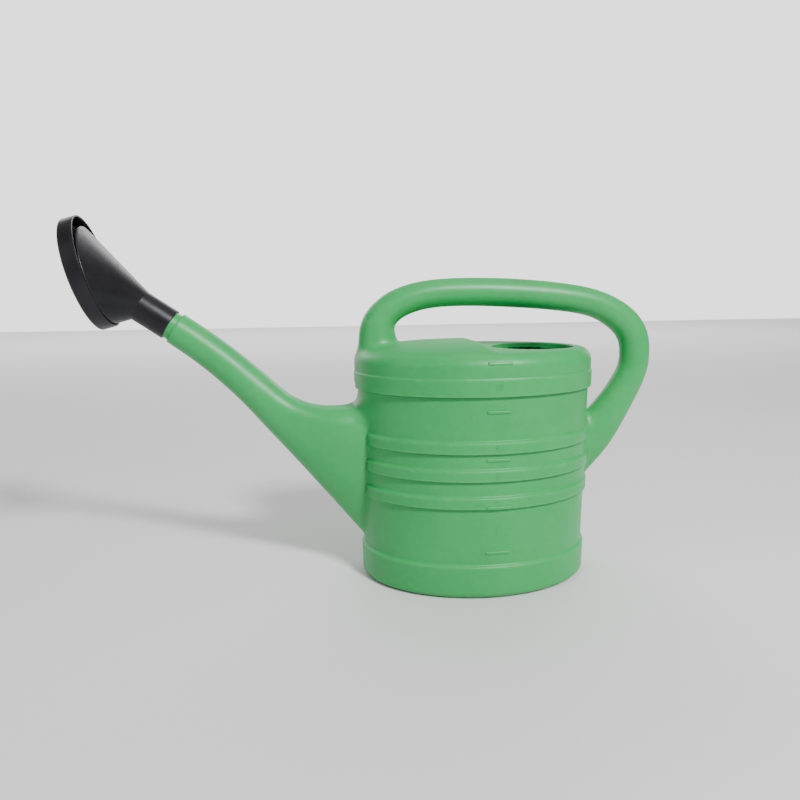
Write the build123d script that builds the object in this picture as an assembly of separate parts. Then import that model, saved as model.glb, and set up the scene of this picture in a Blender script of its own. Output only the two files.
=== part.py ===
from build123d import *
import math
import os

# A ten litre garden watering can, in millimetres. The origin is the middle of the tank's flat
# underside, +Z is up, the spout points to -X and the handle's rear leg is on +X.

# ---------------------------------------------------------------- driving sizes: tank
TANK_HALF_LENGTH = 124.0      # half of the oval tank along X, plain wall, at the underside
TANK_HALF_DEPTH = 95.5        # half of it along Y
TANK_FLARE = 0.027            # how much each half size grows per millimetre of height
WALL = 1.7                    # blow moulded wall of the whole can
FLOOR_THICKNESS = 2.2
FOOT_RADIUS = 7.0             # rounded corner all round the underside
FOOT_BAND_HEIGHT = 37.3
FOOT_BAND_PROUD = 1.6
RIB_COUNT = 3
RIB_START = 96.6              # underside of the lowest stiffening rib
RIB_PITCH = 28.8
RIB_HEIGHT = 14.5
RIB_PROUD = 2.8
EDGE_RISE = 0.8               # slope of a rib's or band's crisp lower edge
EDGE_ROUND = 2.6              # rounding of a rib's or band's upper edge
EDGE_BREAK = (0.33, 0.75)     # middle of that rounding, as shares of its height and of its depth

# ---------------------------------------------------------------- driving sizes: shoulder
DECK_HEIGHT = 256.0           # flat rear deck round the filling opening
SHOULDER_DEPTH = 43.5         # shoulder's own height, top band and all
SHOULDER_START = DECK_HEIGHT - SHOULDER_DEPTH    # where wall and shoulder meet
TOP_BAND_HEIGHT = 19.7
TOP_BAND_PROUD = 3.2
SHOULDER_PROUD = 2.0          # wall above the top band
SHOULDER_RADIUS = 15.0
FILL_RADIUS = 46.0
FILL_LIP = 5.0                # depth of the lip that is turned down round the filling opening
FILL_MARGIN = 3.4             # flat deck left behind the opening
DECK_END = TANK_HALF_LENGTH + TANK_FLARE * DECK_HEIGHT + SHOULDER_PROUD - SHOULDER_RADIUS
FILL_X = DECK_END - FILL_MARGIN - FILL_RADIUS    # centre of the filling opening
DOME_RISE = 9.0               # front dome above the rear deck
DOME_EDGE = 18.0              # how far inside the tank's outline the dome starts
DOME_SLOPE = 40.0             # width of the dome's slope, edge to flat crown
DOME_CURVE = ((0.55, 0.2), (0.88, 0.6), (1.0, 1.0))    # shares of the rise, shares of the slope
DOME_ROOM = 26.5              # from the dome's end to the filling opening
DOME_END = FILL_X - FILL_RADIUS - DOME_ROOM
DOME_STEP = 9.0               # length along X of the dome's step down to the deck

# ---------------------------------------------------------------- driving sizes: level marks
MARK_LENGTH = 25.0
MARK_WIDTH = 3.0
MARK_PROUD = 0.8
MARK_X = 2.5
MARK_START = 49.5             # height of the two litre mark
MARK_COUNT = 5
TOP_MARK_DROP = 9.3           # ten litre mark below the deck
MARK_PITCH = (DECK_HEIGHT - TOP_MARK_DROP - MARK_START) / (MARK_COUNT - 1)

# ---------------------------------------------------------------- driving sizes: spout
SPOUT_LEVEL = DECK_HEIGHT / 2    # height of the middle of the spout's tall root
SPOUT_REACH = 199.3           # from the tank's end to the middle of the spout's tip
SPOUT_RISE = 154.3            # from the root's middle to the tip's
SPOUT_TIP_TILT = 34.5         # degrees above level
SPIGOT_RADIUS = 15.0
SPIGOT_WALL = 2.4
TIP_STEP = 2.4                # radial step from the spout down to the spigot
PASSAGE_STEP = 0.8            # small step where the passage narrows to the spigot's bore
SPIGOT_BORE = SPIGOT_RADIUS - SPIGOT_WALL
SPOUT_TIP_RADIUS = SPIGOT_RADIUS + TIP_STEP

# ---------------------------------------------------------------- driving sizes: handle
GRIP_RADIUS = 15.6
GRIP_RISE = 60.6              # centre of the grip above the deck
LEG_OVERHANG = 66.0           # centre of the rear leg outside the tank's end
ROOT_INSET = 17.0             # front leg inside the tank's other end
GRIP_HEIGHT = DECK_HEIGHT + GRIP_RISE
LEG_REACH = TANK_HALF_LENGTH + LEG_OVERHANG
FRONT_LEG = ROOT_INSET - TANK_HALF_LENGTH

# ---------------------------------------------------------------- driving sizes: rose
SOCKET_LENGTH = 36.0
SOCKET_WALL = 1.75
SOCKET_GAP = 6.0              # spigot left bare between the spout's shoulder and the socket
TURN_CLEARANCE = 0.05         # radial, spigot in socket
END_CLEARANCE = 0.2           # spigot's end to the socket's stop
ROSE_WALL = 1.8
THROAT_STEP = 0.6             # how much wider the throat is than the spigot's bore
ROSE_REACH = 107.3            # from the spout's tip to the face, along the spigot
ROSE_DROP = 5.4               # face's centre below the spigot's axis
ROSE_FACE_TURN = 49.5         # degrees the face is turned down from the spigot's axis
FACE_HALF_WIDTH = 52.0
FACE_STRETCH = 7.0            # how much longer than wide each half of the face is
FACE_DOME = 10.0
FACE_SKIRT = 13.5             # depth of the cap's rim
DOME_TURNS = (0, 20, 40, 58, 74)    # degrees round the domed face where its ovals are
MOUTH_ROOM = 1.5              # between the housing's mouth and the inside of the cap's rim
MOUTH_FOOT_ROOM = 2.3         # extra room at the lower edge
COLLAR_LENGTH = 8.0           # collar behind the face that plugs into the mouth
COLLAR_WALL = 1.5
COLLAR_CLEARANCE = 0.1
HOLE_RADIUS = 0.9
HOLE_RINGS = 5
HOLE_MARGIN = 2.4             # outermost holes to the inside of the collar
SPIGOT_LENGTH = SOCKET_GAP + SOCKET_LENGTH - ROSE_WALL - END_CLEARANCE
ROSE_THROAT = SPIGOT_BORE + THROAT_STEP
FACE_HALF_LENGTH = FACE_HALF_WIDTH + FACE_STRETCH
MOUTH_OFFSET = FACE_STRETCH - MOUTH_FOOT_ROOM
MOUTH_RADIUS = FACE_HALF_WIDTH - ROSE_WALL - MOUTH_ROOM
COLLAR_RADIUS = MOUTH_RADIUS - ROSE_WALL - COLLAR_CLEARANCE
HOLE_PITCH = (COLLAR_RADIUS - COLLAR_WALL - HOLE_RADIUS - HOLE_MARGIN) / HOLE_RINGS

REACH = 1000.0                # larger than the whole can, for cutting away

os.makedirs("parts", exist_ok=True)


# ---------------------------------------------------------------- tank and shoulder
def oval(height, growth):
    """The tank's plan outline at a height, grown outwards by a distance."""
    spread = TANK_FLARE * height + growth
    return Plane.XY.offset(height) * Ellipse(TANK_HALF_LENGTH + spread, TANK_HALF_DEPTH + spread)


def stack(levels, inset=0.0):
    """A closed solid through ovals, each level a height and a growth."""
    return loft([oval(height, growth - inset) for height, growth in levels], ruled=True)


def band(start, height, proud, after=0.0):
    """Levels of a raised band: crisp below, rounded above."""
    top = start + height
    break_height, break_depth = EDGE_BREAK
    return [
        (start, 0.0),
        (start + EDGE_RISE, proud),
        (top - EDGE_ROUND, proud),
        (top - EDGE_ROUND * break_height, after + (proud - after) * break_depth),
        (top, after),
    ]


def round_over(centre_height, centre_growth, radius, steps=4):
    """Levels of a quarter round from the outside wall up to a flat top."""
    turns = [math.radians(90 * step / steps) for step in range(steps + 1)]
    return [
        (centre_height + radius * math.sin(turn), centre_growth + radius * math.cos(turn))
        for turn in turns
    ]


def foot_levels():
    """Levels of the quarter round at the underside, then the foot band."""
    turns = [math.radians(angle) for angle in (0, 30, 60, 90)]
    corner = [
        (
            FOOT_RADIUS * (1 - math.cos(turn)),
            FOOT_BAND_PROUD - FOOT_RADIUS * (1 - math.sin(turn)),
        )
        for turn in turns
    ]
    return corner + [
        (FOOT_BAND_HEIGHT - EDGE_ROUND, FOOT_BAND_PROUD),
        (FOOT_BAND_HEIGHT, 0.0),
    ]


wall_levels = foot_levels()
for rib in range(RIB_COUNT):
    wall_levels += band(RIB_START + rib * RIB_PITCH, RIB_HEIGHT, RIB_PROUD)
wall_levels.append((SHOULDER_START, 0.0))

band_levels = band(SHOULDER_START, TOP_BAND_HEIGHT, TOP_BAND_PROUD, SHOULDER_PROUD)


def shoulder_levels(wall=0.0):
    """The shoulder's skin, or with a wall thickness its inside."""
    levels = [(height, growth - wall) for height, growth in band_levels]
    return levels + round_over(
        DECK_HEIGHT - SHOULDER_RADIUS, SHOULDER_PROUD - SHOULDER_RADIUS, SHOULDER_RADIUS - wall
    )


def dome(wall=0.0):
    """The raised front of the shoulder, closed below, ending in a slope above the deck."""
    base = DECK_HEIGHT - wall
    edge = -DOME_EDGE - wall
    levels = [(base - SHOULDER_RADIUS / 2, edge), (base, edge)]
    for rise, slope in DOME_CURVE:
        levels.append((base + DOME_RISE * rise, edge - DOME_SLOPE * slope))
    end = DOME_END - wall
    low = DECK_HEIGHT - SHOULDER_RADIUS
    high = DECK_HEIGHT + DOME_RISE
    keep = Plane.XZ * Polygon(
        (-REACH, low), (end + DOME_STEP, low), (end + DOME_STEP, base), (end, high), (-REACH, high),
        align=None,
    )
    return stack(levels) & extrude(keep, REACH, both=True)


tank_skin = stack(wall_levels)
shoulder_skin = stack(shoulder_levels()) + dome()
can_skin = tank_skin + shoulder_skin


def level_marks():
    """Raised dashes on the near side, one for each two litres."""
    dashes = Compound(children=[
        Pos(MARK_X, -TANK_HALF_DEPTH, MARK_START + mark * MARK_PITCH)
        * Box(MARK_LENGTH, TANK_HALF_DEPTH, MARK_WIDTH)
        for mark in range(MARK_COUNT)
    ])
    proud = stack(wall_levels, -MARK_PROUD) + stack(shoulder_levels(-MARK_PROUD))
    return proud & dashes


# ---------------------------------------------------------------- spout and handle skins
def section(plane, half_height, half_width, egg=0.0):
    """A closed section, upright on a plane's own y, wider above its middle where egg is set."""
    angles = [math.pi * step / 6 for step in range(7)]
    right = [
        (half_width * math.sin(angle) * (1 + egg * math.cos(angle)), half_height * math.cos(angle))
        for angle in angles
    ]
    left = [(-across, up) for across, up in reversed(right)]
    return plane * Face(Wire([Spline(*right), Spline(*left)]))


def across(x, z, heading):
    """A plane in mid width that faces a heading, in degrees from +X towards +Z."""
    turn = math.radians(heading)
    return Plane((x, 0, z), x_dir=(0, 1, 0), z_dir=(math.cos(turn), 0, math.sin(turn)))


def tube(stations, inset=0.0):
    """A closed solid through stations, shrunk by an inset."""
    return loft([
        section(across(x, z, heading), height - inset, width - inset, egg)
        for x, z, heading, height, width, egg in stations
    ], ruled=True)


SPOUT_HEADING = 180.0 - SPOUT_TIP_TILT


def out(reach, rise, heading):
    """A place on the spout's centre line: reach beyond the tank's end, rise above the root."""
    return -TANK_HALF_LENGTH - reach, SPOUT_LEVEL + rise, heading


spout_tip = out(SPOUT_REACH, SPOUT_RISE, SPOUT_HEADING)
spout_stations = [
    (*out(-29.0, 0.0, 180.0), 80.0, 31.0, 0.30),
    (*out(6.0, 0.0, 178.0), 78.0, 31.0, 0.30),
    (*out(21.8, 11.1, 172.8), 62.3, 30.0, 0.26),
    (*out(42.0, 24.9, 162.2), 45.7, 28.0, 0.18),
    (*out(63.8, 39.7, 146.9), 32.5, 25.0, 0.10),
    (*out(90.5, 59.4, 137.0), 23.8, 21.5, 0.04),
    (*out(130.4, 98.0, 136.5), SPOUT_TIP_RADIUS + 1.6, SPOUT_TIP_RADIUS + 1.4, 0.0),
    (*out(163.0, 127.3, 141.5), SPOUT_TIP_RADIUS + 0.6, SPOUT_TIP_RADIUS + 0.5, 0.0),
    (*spout_tip, SPOUT_TIP_RADIUS, SPOUT_TIP_RADIUS, 0.0),
]
NECK_START = out(81.0, 51.5, 140.0)
NECK_END = out(141.0, 107.5, 138.0)
handle_stations = [
    (FRONT_LEG, DECK_HEIGHT - 30.0, 90.0, 23.0, 21.0, 0.0),
    (FRONT_LEG, DECK_HEIGHT, 90.0, 22.5, 19.5, 0.0),
    (FRONT_LEG - 0.5, GRIP_HEIGHT - 37.7, 81.0, 19.3, 17.5, 0.0),
    (FRONT_LEG + 7.1, GRIP_HEIGHT - 23.3, 53.5, 16.6, 16.2, 0.0),
    (FRONT_LEG + 23.6, GRIP_HEIGHT - 11.1, 27.8, GRIP_RADIUS, GRIP_RADIUS, 0.0),
    (FRONT_LEG + 53.4, GRIP_HEIGHT - 2.4, 8.0, GRIP_RADIUS, GRIP_RADIUS, 0.0),
    (FRONT_LEG + 96.7, GRIP_HEIGHT, 0.0, GRIP_RADIUS, GRIP_RADIUS, 0.0),
    (LEG_REACH - 146.4, GRIP_HEIGHT - 1.6, -3.0, GRIP_RADIUS, GRIP_RADIUS, 0.0),
    (LEG_REACH - 91.6, GRIP_HEIGHT - 6.3, -8.0, GRIP_RADIUS, GRIP_RADIUS, 0.0),
    (LEG_REACH - 47.6, GRIP_HEIGHT - 14.8, -18.4, GRIP_RADIUS, GRIP_RADIUS, 0.0),
    (LEG_REACH - 15.4, GRIP_HEIGHT - 33.4, -45.0, 16.8, GRIP_RADIUS, 0.0),
    (LEG_REACH - 1.5, GRIP_HEIGHT - 54.0, -73.0, 17.0, GRIP_RADIUS, 0.0),
    (LEG_REACH, GRIP_HEIGHT - 75.0, -93.0, 17.0, GRIP_RADIUS, 0.0),
    (LEG_REACH - 4.1, GRIP_HEIGHT - 98.0, -108.0, 17.0, GRIP_RADIUS, 0.0),
    (LEG_REACH - 26.0, DECK_HEIGHT - 74.5, -124.0, 21.5, GRIP_RADIUS, 0.0),
    (LEG_REACH - 52.0, DECK_HEIGHT - 110.0, -165.0, 42.0, 15.0, 0.0),
    (LEG_REACH - 78.0, DECK_HEIGHT - 114.0, -180.0, 44.0, 15.0, 0.0),
]

spout_plane = across(*spout_tip)
passage_end = spout_plane.offset(-WALL).origin
passage_radius = SPIGOT_BORE + PASSAGE_STEP + WALL
passage_stations = spout_stations[:-1] + [
    (passage_end.X, passage_end.Z, SPOUT_HEADING, passage_radius, passage_radius, 0.0),
]


def rod(plane, start, length, radius):
    """A round bar along a plane's normal, from a distance above the plane."""
    return extrude(plane.offset(start) * Circle(radius), length)


spout_skin = tube(spout_stations)
spout_passage = tube(passage_stations, WALL)
passage_bore = rod(spout_plane, -3 * WALL, SPIGOT_LENGTH + 4 * WALL, SPIGOT_BORE)
handle_skin = tube(handle_stations)

# ---------------------------------------------------------------- nodes of the can moulding
tank_inside = stack(wall_levels, WALL)
shoulder_inside = stack(shoulder_levels(WALL)) + dome(WALL)
below_floor = Pos(0, 0, FLOOR_THICKNESS / 2) * Box(REACH, REACH, FLOOR_THICKNESS)
fill_plane = Plane((FILL_X, 0, DECK_HEIGHT))

tank_floor = tank_inside & below_floor
marks = level_marks()
below_shoulder = Pos(0, 0, SHOULDER_START - REACH / 2) * Box(REACH, REACH, REACH)

tank_wall = tank_skin - tank_inside + ((marks & below_shoulder) - tank_skin)
tank_wall -= spout_passage

lip = rod(fill_plane, -FILL_LIP, FILL_LIP, FILL_RADIUS + WALL)
shoulder = (shoulder_skin - shoulder_inside) + lip + (marks - below_shoulder - can_skin)
shoulder -= rod(fill_plane, -FILL_LIP - WALL, FILL_LIP + DOME_RISE + 2 * WALL, FILL_RADIUS)

spout = spout_skin - spout_passage - passage_bore - can_skin
neck_start = across(*NECK_START)
neck_end = across(*NECK_END)
spout_root = split(spout, bisect_by=neck_start, keep=Keep.BOTTOM)
spout_neck = split(split(spout, bisect_by=neck_start), bisect_by=neck_end, keep=Keep.BOTTOM)
spout_end = split(spout, bisect_by=neck_end)
spigot = rod(spout_plane, 0, SPIGOT_LENGTH, SPIGOT_RADIUS) - passage_bore

handle = handle_skin - tube(handle_stations, WALL) - can_skin

# ---------------------------------------------------------------- rose
face_centre = spout_plane.offset(ROSE_REACH).origin + spout_plane.y_dir * ROSE_DROP
face_plane = across(face_centre.X, face_centre.Z, SPOUT_HEADING + ROSE_FACE_TURN)
mouth_plane = Plane(
    face_plane.origin + face_plane.y_dir * MOUTH_OFFSET, face_plane.x_dir, face_plane.z_dir
)
SOCKET_BORE = SPIGOT_RADIUS + TURN_CLEARANCE
SOCKET_RADIUS = SOCKET_BORE + SOCKET_WALL
throat_start = SOCKET_GAP + SOCKET_LENGTH
mouth_depth = FACE_SKIRT - ROSE_WALL


def half_arcs(plane, radius):
    """The two halves of a circle that meet at its top and bottom."""
    right = ThreePointArc((0, radius), (radius, 0), (0, -radius))
    left = ThreePointArc((0, -radius), (-radius, 0), (0, radius))
    return [plane * right, plane * left]


def funnel(socket_radius, mouth_radius):
    """The spreading part of the rose, from the socket's end to the plane of the cap's rear edge."""
    start = half_arcs(spout_plane.offset(throat_start), socket_radius)
    end = half_arcs(mouth_plane.offset(-FACE_SKIRT), mouth_radius)
    sides = [Face.make_surface_from_curves(one, other) for one, other in zip(start, end)]
    return Solid(Shell(sides + [Face(Wire(start)), Face(Wire(end))]))


rose_skin = (
    funnel(SOCKET_RADIUS, MOUTH_RADIUS)
    + rod(spout_plane, SOCKET_GAP, SOCKET_LENGTH, SOCKET_RADIUS)
    + rod(mouth_plane, -FACE_SKIRT, mouth_depth, MOUTH_RADIUS)
)
rose_inside = (
    funnel(ROSE_THROAT, MOUTH_RADIUS - ROSE_WALL)
    + rod(spout_plane, SOCKET_GAP, SOCKET_LENGTH - ROSE_WALL, SOCKET_BORE)
    + rod(spout_plane, SOCKET_GAP, SOCKET_LENGTH, ROSE_THROAT)
    + rod(mouth_plane, -FACE_SKIRT, mouth_depth, MOUTH_RADIUS - ROSE_WALL)
)
rose_housing = rose_skin - rose_inside


def face_dome(inset, lift):
    """The cap's domed front as stacked ovals, flat behind."""
    turns = [math.radians(angle) for angle in DOME_TURNS]
    return loft([
        face_plane.offset(lift + FACE_DOME * math.sin(turn))
        * Ellipse(
            (FACE_HALF_WIDTH - inset) * math.cos(turn), (FACE_HALF_LENGTH - inset) * math.cos(turn)
        )
        for turn in turns
    ], ruled=True)


def face_oval(inset, start, length):
    """A bar of the cap's oval outline."""
    outline = Ellipse(FACE_HALF_WIDTH - inset, FACE_HALF_LENGTH - inset)
    return extrude(face_plane.offset(start) * outline, length)


def spray_holes():
    """Rings of fine holes through the face."""
    holes = [rod(mouth_plane, -ROSE_WALL * 2, FACE_DOME * 2, HOLE_RADIUS)]
    for ring in range(1, HOLE_RINGS + 1):
        count = 6 * ring
        for step in range(count):
            angle = 2 * math.pi * step / count
            spot = (ring * HOLE_PITCH * math.cos(angle), ring * HOLE_PITCH * math.sin(angle))
            hole = mouth_plane.offset(-ROSE_WALL * 2) * Pos(*spot) * Circle(HOLE_RADIUS)
            holes.append(extrude(hole, FACE_DOME * 2))
    return holes


rose_face = face_dome(0, 0) + face_oval(0, -FACE_SKIRT, FACE_SKIRT)
rose_face -= face_dome(ROSE_WALL, -ROSE_WALL)
rose_face -= face_oval(ROSE_WALL, -FACE_SKIRT, FACE_SKIRT - ROSE_WALL)
collar = rod(mouth_plane, -ROSE_WALL - COLLAR_LENGTH, COLLAR_LENGTH + FACE_DOME, COLLAR_RADIUS)
collar -= rod(mouth_plane, -FACE_SKIRT, FACE_SKIRT * 2, COLLAR_RADIUS - COLLAR_WALL)
rose_face += collar & (face_dome(0, 0) + face_oval(0, -FACE_SKIRT, FACE_SKIRT))
rose_face = rose_face - spray_holes()

# ---------------------------------------------------------------- write the nodes
nodes = {
    "tank_wall": tank_wall,
    "tank_floor": tank_floor,
    "shoulder": shoulder,
    "spout_root": spout_root,
    "spout_neck": spout_neck,
    "spout_end": spout_end,
    "spigot": spigot,
    "handle": handle,
    "rose_housing": rose_housing,
    "rose_face": rose_face,
}
for name, shape in nodes.items():
    export_step(shape, f"parts/{name}.step")
    print(name, len(shape.solids()), round(shape.volume), shape.is_valid)
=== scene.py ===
import math
import bpy
import numpy as np
from mathutils import Matrix, Vector
from mathutils.geometry import delaunay_2d_cdt


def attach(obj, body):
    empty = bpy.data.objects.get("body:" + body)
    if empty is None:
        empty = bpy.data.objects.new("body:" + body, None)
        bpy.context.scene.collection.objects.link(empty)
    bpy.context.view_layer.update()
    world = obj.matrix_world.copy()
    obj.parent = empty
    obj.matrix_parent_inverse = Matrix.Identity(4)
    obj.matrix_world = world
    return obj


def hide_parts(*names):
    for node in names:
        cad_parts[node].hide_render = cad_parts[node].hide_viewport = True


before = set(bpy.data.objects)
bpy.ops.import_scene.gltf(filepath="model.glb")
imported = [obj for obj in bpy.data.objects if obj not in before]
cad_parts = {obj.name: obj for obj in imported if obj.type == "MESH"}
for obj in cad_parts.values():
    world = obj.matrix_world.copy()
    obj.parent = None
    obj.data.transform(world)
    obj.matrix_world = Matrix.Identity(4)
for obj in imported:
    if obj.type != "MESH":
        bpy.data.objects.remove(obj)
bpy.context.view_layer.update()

# A ten litre plastic watering can. Shapes are worked out in millimetres, in the frame of the CAD
# model: the origin is the middle of the flat underside, +Z is up and the spout points to -X.
MM = 0.001

# ------------------------------------------------------------------ sizes, millimetres
TANK_HALF_LENGTH = 125.2
TANK_HALF_DEPTH = 96.8
TANK_FLARE = 0.0225            # how far the wall leans out for each millimetre of height
FOOT_RADIUS = 7.0
FOOT_BAND_TOP = 37.3
FOOT_BAND_PROUD = 2.8
RIB_STARTS = [96.6, 125.4, 154.2]
RIB_HEIGHT = 14.5
RIB_PROUD = 2.8
TOP_BAND = (212.5, 232.2)
TOP_BAND_PROUD = 3.3
SHOULDER_PROUD = 2.2
SHOULDER_STEP = 2.0            # height over which the top band steps in to the shoulder
DECK_HEIGHT = 255.3
SHOULDER_RADIUS = 14.0
DOME_RISE = 8.4
DOME_REACH = 80.0
DOME_INSET = 4.0               # flat margin between the tank's side and the dome
DOME_STEP = (-4.0, 13.0)
FILL_X = 68.5
FILL_RADIUS = 47.0
SKIN = 6.5                     # depth of the moulding's wall where its hollow can be looked into
TIP_SKIN = 5.0
SPOUT_SKIN = 8.5
SPOUT_SKIN_START = (-316.0, -304.0)
PASSAGE_FILLET = 6.0
TIP_EDGE = 1.2
LIP_EDGE = 1.3
TIP = (-323.3, 282.3)
TIP_HEADING = 145.5
TIP_RADIUS = 17.4
SPOUT_INNER_END = -98.0
SPOUT_SQUARING = (-240.0, -145.0)    # stretch along X where the spout's top grows wide and square
SPOUT_TOP_WIDENING = 0.38
SPOUT_TOP_SQUARENESS = 1.4
SPOUT_FILLET = 4.0
SADDLE_FILLET = 24.0           # further fillet where the spout's top meets the tank
SADDLE_HEIGHTS = (160.0, 198.0)
HANDLE_FILLET = 14.0
RIBS_TO_SPOUT = (0.6, 3.2)     # gaps over which the ribs run out beside the spout
RIBS_TO_HANDLE = (0.5, 5.0)
SPIGOT_RADIUS = 15.0
SPIGOT_BORE = 12.6
SPIGOT_LENGTH = 40.0

LOWER_EDGE = 0.7               # height of a band's crisp lower edge
UPPER_EDGE = 3.4               # height of its soft upper edge
TINY = 1e-9                    # keeps a division away from nought


# ------------------------------------------------------------------ curves and blends
class Curve:
    """A smooth line through points, read at any place along its first column."""

    def __init__(self, *points):
        table = np.array(points, float)
        self.at, self.values = table[:, 0], table[:, 1]
        rise = np.diff(self.values) / np.diff(self.at)
        inner = (rise[:-1] + rise[1:]) / 2
        self.slopes = np.concatenate([rise[:1], inner, rise[-1:]])

    def __call__(self, place):
        """The value and the slope there; straight on beyond the ends."""
        held = np.clip(place, self.at[0], self.at[-1])
        k = np.clip(np.searchsorted(self.at, held, "right") - 1, 0, len(self.at) - 2)
        step = self.at[k + 1] - self.at[k]
        t = (held - self.at[k]) / step
        low, high = self.values[k], self.values[k + 1]
        go, come = self.slopes[k] * step, self.slopes[k + 1] * step
        value = (
            low * (1 + 2 * t) * (1 - t) ** 2 + go * t * (1 - t) ** 2
            + high * t * t * (3 - 2 * t) + come * t * t * (t - 1)
        )
        slope = (
            6 * t * (t - 1) * (low - high) + go * (1 - 4 * t + 3 * t * t)
            + come * (3 * t * t - 2 * t)
        ) / step
        return value + (place - held) * slope, slope


def ease(low, high, value):
    """0 below low, 1 above high, and a soft S between them."""
    t = np.clip((value - low) / (high - low), 0, 1)
    return t * t * (3 - 2 * t)


def blend(one, other, reach):
    """The union of two shapes with a fillet that starts a reach away from the corner."""
    near = np.maximum(reach - np.abs(one - other), 0) / reach
    return np.minimum(one, other) - near ** 3 * reach / 6


def corner(one, other, radius):
    """What is inside both shapes, with its outer corner rounded."""
    past_one = np.maximum(one + radius, 0)
    past_other = np.maximum(other + radius, 0)
    inside = np.minimum(np.maximum(one, other), -radius)
    return inside + np.sqrt(past_one ** 2 + past_other ** 2)


def oval_distance(across, along, half_across, half_along):
    """About how far a point is outside an oval."""
    share = np.sqrt((across / half_across) ** 2 + (along / half_along) ** 2) + TINY
    pull = np.sqrt((across / half_across ** 2) ** 2 + (along / half_along ** 2) ** 2) + TINY
    return (share - 1) * share / pull


# ------------------------------------------------------------------ the moulding's shape
SPOUT_TOP = Curve(
    (-340.0, 315.0), (-313.5, 296.6), (-289.7, 279.7), (-265.3, 260.9), (-240.8, 239.8),
    (-228.4, 228.4), (-215.9, 216.4), (-203.2, 206.0), (-190.3, 198.9), (-177.2, 194.5),
    (-164.0, 192.6), (-150.0, 192.4), (-130.0, 193.0), (-95.0, 194.0),
)
SPOUT_FOOT = Curve(
    (-333.0, 268.0), (-304.1, 245.8), (-279.9, 224.3), (-255.5, 199.2), (-230.7, 170.0),
    (-205.5, 140.5), (-179.9, 109.4), (-153.6, 77.3), (-131.5, 50.0), (-95.0, 8.0),
)
SPOUT_WIDTH = Curve(
    (-340.0, 17.4), (-300.0, 17.6), (-255.0, 18.8), (-215.0, 21.3), (-188.0, 24.0),
    (-166.0, 26.0), (-146.0, 27.3), (-128.0, 27.6), (-95.0, 27.6),
)


def spout(x, y, z):
    """Distance to the spout: upright ovals between its top and foot lines, squarer at their tops."""
    top, top_slope = SPOUT_TOP(x)
    foot, foot_slope = SPOUT_FOOT(x)
    half = (top - foot) / 2
    up = (z - (top + foot) / 2) / half
    towards_tank = ease(*SPOUT_SQUARING, x)
    wide = SPOUT_WIDTH(x)[0] * (1 + SPOUT_TOP_WIDENING * towards_tank * np.clip(up, -1, 1))
    power = 2 + SPOUT_TOP_SQUARENESS * towards_tank * (up > 0)
    aside, above = np.abs(y / wide), np.abs(up)
    share = (aside ** power + above ** power) ** (1 / power) + TINY
    lean = (top_slope + foot_slope) / 2 + up * (top_slope - foot_slope) / 2
    pull_aside = (aside / share) ** (power - 1) / wide
    pull_above = (above / share) ** (power - 1) / half * np.sqrt(1 + lean ** 2)
    distance = (share - 1) / (np.sqrt(pull_aside ** 2 + pull_above ** 2) + TINY)
    return np.maximum(distance, x - SPOUT_INNER_END)


HANDLE_LINE = np.array([
    # x, z, half thickness, half width
    (-107.0, 226.0, 22.5, 20.0),
    (-107.3, 256.0, 22.0, 19.0),
    (-107.5, 278.9, 19.3, 17.5),
    (-99.9, 293.3, 16.8, 16.4),
    (-83.4, 305.5, 15.9, 15.8),
    (-53.6, 314.4, 15.4, 15.6),
    (-10.3, 316.8, 15.5, 15.6),
    (43.6, 315.0, 15.9, 15.6),
    (98.4, 310.2, 15.7, 15.6),
    (142.4, 301.9, 15.6, 15.6),
    (174.0, 284.0, 16.8, 15.6),
    (188.0, 264.8, 17.2, 15.6),
    (191.0, 242.8, 17.0, 15.6),
    (186.9, 219.8, 17.1, 15.6),
    (165.5, 182.5, 20.0, 15.8),
    (141.5, 151.5, 26.0, 16.0),
    (112.0, 132.0, 36.0, 16.0),
])


def fine_line(stations, steps):
    """Points on a smooth line through stations, with their other columns carried along."""
    padded = np.vstack([2 * stations[0] - stations[1], stations, 2 * stations[-1] - stations[-2]])
    pieces = []
    for k in range(len(stations) - 1):
        a, b, c, d = padded[k:k + 4]
        t = np.arange(steps)[:, None] / steps
        pieces.append(0.5 * (
            2 * b + (c - a) * t + (2 * a - 5 * b + 4 * c - d) * t ** 2
            + (3 * b - a - 3 * c + d) * t ** 3
        ))
    return np.vstack(pieces + [stations[-1:]])


def settled(points, reach):
    """The same points, each moved to the mean of those around it, so that no bend is sudden."""
    padded = np.pad(points, ((reach, reach), (0, 0)), "reflect", reflect_type="odd")
    window = np.ones(2 * reach + 1) / (2 * reach + 1)
    return np.column_stack([np.convolve(column, window, "valid") for column in padded.T])


HANDLE_STRIDE = 10             # from one rough point of the line to the next
HANDLE_POINTS = fine_line(HANDLE_LINE, 3 * HANDLE_STRIDE)
for neighbours in (12, 8):
    HANDLE_POINTS = settled(HANDLE_POINTS, neighbours)
HANDLE_STEPS = np.gradient(HANDLE_POINTS[:, :2], axis=0)
HANDLE_SPACING = np.linalg.norm(HANDLE_STEPS, axis=1)[:, None]
HANDLE_TANGENTS = HANDLE_STEPS / HANDLE_SPACING
HANDLE_GROWTH = np.gradient(HANDLE_POINTS[:, 2:], axis=0) / HANDLE_SPACING
BATCH = 20000                  # places looked up at a time


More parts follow.
